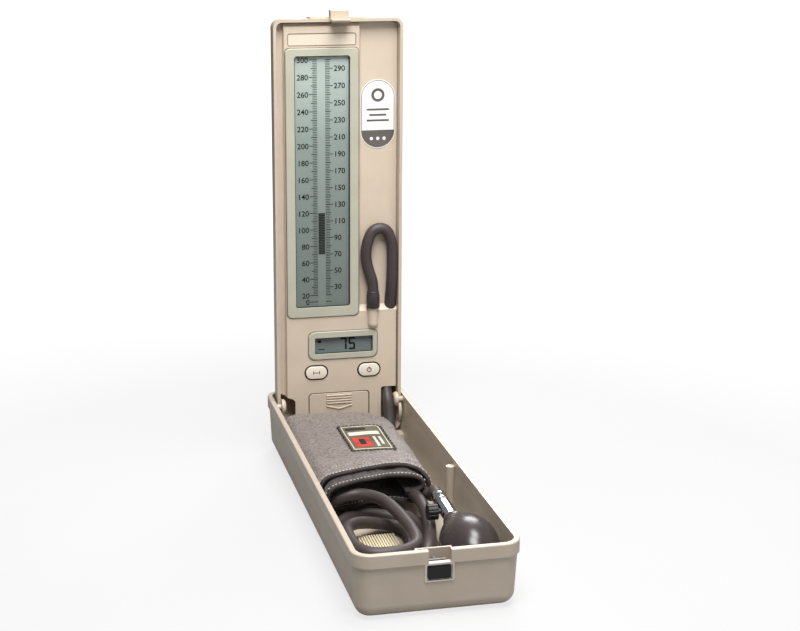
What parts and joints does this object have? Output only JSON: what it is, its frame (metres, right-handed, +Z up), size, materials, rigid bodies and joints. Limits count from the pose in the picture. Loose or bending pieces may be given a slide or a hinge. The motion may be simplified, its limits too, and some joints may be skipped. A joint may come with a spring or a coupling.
{
  "type": "sphygmomanometer",
  "caption": "Desk blood pressure gauge without mercury: long drafted case with hinged upright lid, tall bar display, coiled hose, squeeze bulb with valve and folded cuff",
  "frame": {"origin": "on the table under the middle of the case", "axes": "+X is the reader's right, +Y runs along the case from the latch to the hinge, +Z is up; the lid stands open"},
  "size_m": [0.11, 0.34, 0.3498],
  "materials": {
    "case": "fine spark-eroded texture, taupe",
    "feet": "moulded",
    "pad": "ribbed",
    "pins": "domed",
    "latch_metal": "satin",
    "latch_black": "gloss",
    "steel": "plain",
    "panel": "fine texture",
    "plate": "bare",
    "badge": "printed",
    "bezel": "satin",
    "window": "clear",
    "lcd": "display face",
    "keys": "satin",
    "board": "solder mask",
    "sensor": "moulded",
    "cells": "plain wrap",
    "nipple": "moulded",
    "hose": "satin",
    "bulb": "satin",
    "chrome": "bright",
    "knob": "knurled",
    "cuff": "pebbled nylon",
    "label": "woven"
  },
  "bodies": {
    "case": {"case_shell": "case", "rubber_feet": "feet", "ribbed_pad": "pad", "hinge_pins": "pins", "latch_frame": "latch_metal", "latch_spring": "steel", "manometer_hose": "hose", "bulb_hose": "hose", "bulb": "bulb", "valve_body": "chrome", "hose_coupler": "knob", "inlet_valve": "chrome", "cuff": "cuff", "cuff_label": "label"},
    "latch": {"latch_button": "latch_black", "latch_catch": "steel"},
    "lid": {"lid_shell": "case", "panel_screws": "steel", "instrument_panel": "panel", "serial_plate": "plate", "column_badge": "badge", "lcd_bezel": "bezel", "lcd_window": "window", "lcd_display": "lcd", "pulse_bezel": "bezel", "pulse_window": "window", "pulse_display": "lcd", "dome_switches": "steel", "circuit_board": "board", "board_screws": "steel", "pressure_sensor": "sensor", "buzzer": "sensor", "battery_tray": "sensor", "batteries": "cells", "battery_contacts": "steel", "hose_nipple": "nipple", "hose_sleeve": "hose", "lid_hose": "hose"},
    "marker_key": {"marker_button": "keys"},
    "power_key": {"power_button": "keys"},
    "battery_door": {"battery_cover": "panel"},
    "release_screw": {"valve_screw": "knob"}
  },
  "joints": [
    {"name": "lid_hinge", "type": "hinge", "parent": "case", "child": "lid", "pos_m": [0, 0.14, 0.041], "axis": [1, 0, 0], "range_deg": [0, 90]},
    {"name": "latch_slide", "type": "slide", "parent": "case", "child": "latch", "axis": [0, 1, 0], "range_m": [0, 0.0015], "stiffness_N_per_m": 400, "springref_m": -0.002, "deforming": ["latch_spring"]},
    {"name": "marker_press", "type": "slide", "parent": "lid", "child": "marker_key", "axis": [0, 1, 0], "range_m": [0, 0.0009], "stiffness_N_per_m": 400, "springref_m": -0.0015},
    {"name": "power_press", "type": "slide", "parent": "lid", "child": "power_key", "axis": [0, 1, 0], "range_m": [0, 0.0009], "stiffness_N_per_m": 400, "springref_m": -0.0015},
    {"name": "battery_door_slide", "type": "slide", "parent": "lid", "child": "battery_door", "axis": [0, 0, -1], "range_m": [0, 0.004]},
    {"name": "release_turn", "type": "hinge", "parent": "case", "child": "release_screw", "pos_m": [0.03015, -0.07585, 0.03165], "axis": [-1, 0, 0], "range_deg": [0, 360]}
  ]
}
